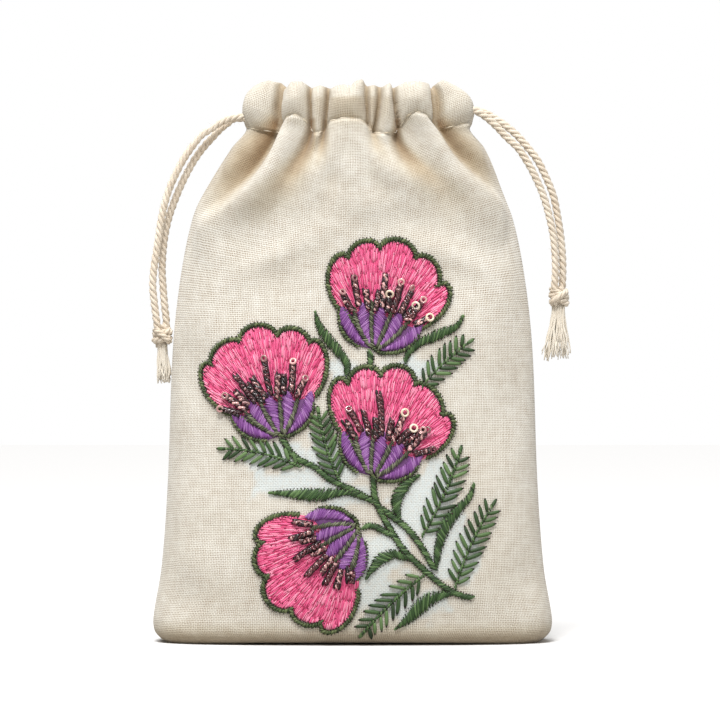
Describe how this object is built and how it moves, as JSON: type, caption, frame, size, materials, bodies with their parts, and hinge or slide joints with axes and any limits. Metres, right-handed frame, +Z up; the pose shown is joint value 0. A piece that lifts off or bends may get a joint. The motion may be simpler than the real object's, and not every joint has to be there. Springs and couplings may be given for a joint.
{
  "type": "potli bag",
  "caption": "Small cloth drawstring pouch with a gathered mouth, knotted drawcords at both sides and an embroidered flower spray on its front.",
  "frame": {"origin": "middle of the flat base, on the surface that the bag stands on", "axes": "+Z up to the mouth, front with the embroidery faces -Y, +X to the right seen from the front"},
  "size_m": [0.1372, 0.0518, 0.181],
  "materials": {
    "cloth": "matt woven cotton and linen",
    "cord": "matt twisted cotton",
    "pink_thread": "satin thread",
    "purple_thread": "satin thread",
    "green_thread": "satin thread",
    "dark_green_thread": "satin thread",
    "bead": "glossy"
  },
  "bodies": {
    "root": {"bag_body": "cloth", "drawcord_left": "cord", "drawcord_right": "cord", "knot_left": "cord", "knot_right": "cord", "tassel_left": "cord", "tassel_right": "cord", "petals_top": "pink_thread", "outline_top": "dark_green_thread", "cup_top": "purple_thread", "beads_top": "bead", "petals_left": "pink_thread", "outline_left": "dark_green_thread", "cup_left": "purple_thread", "beads_left": "bead", "petals_middle": "pink_thread", "outline_middle": "dark_green_thread", "cup_middle": "purple_thread", "beads_middle": "bead", "petals_bottom": "pink_thread", "outline_bottom": "dark_green_thread", "cup_bottom": "purple_thread", "beads_bottom": "bead", "stems": "green_thread", "frond_1": "green_thread", "frond_2": "green_thread", "frond_3": "green_thread", "frond_4": "green_thread", "frond_5": "green_thread", "frond_6": "green_thread", "leaf_1": "green_thread", "leaf_2": "green_thread", "leaf_3": "green_thread", "leaf_4": "green_thread", "leaf_5": "green_thread", "leaf_6": "green_thread", "leaf_7": "green_thread"}
  },
  "joints": []
}
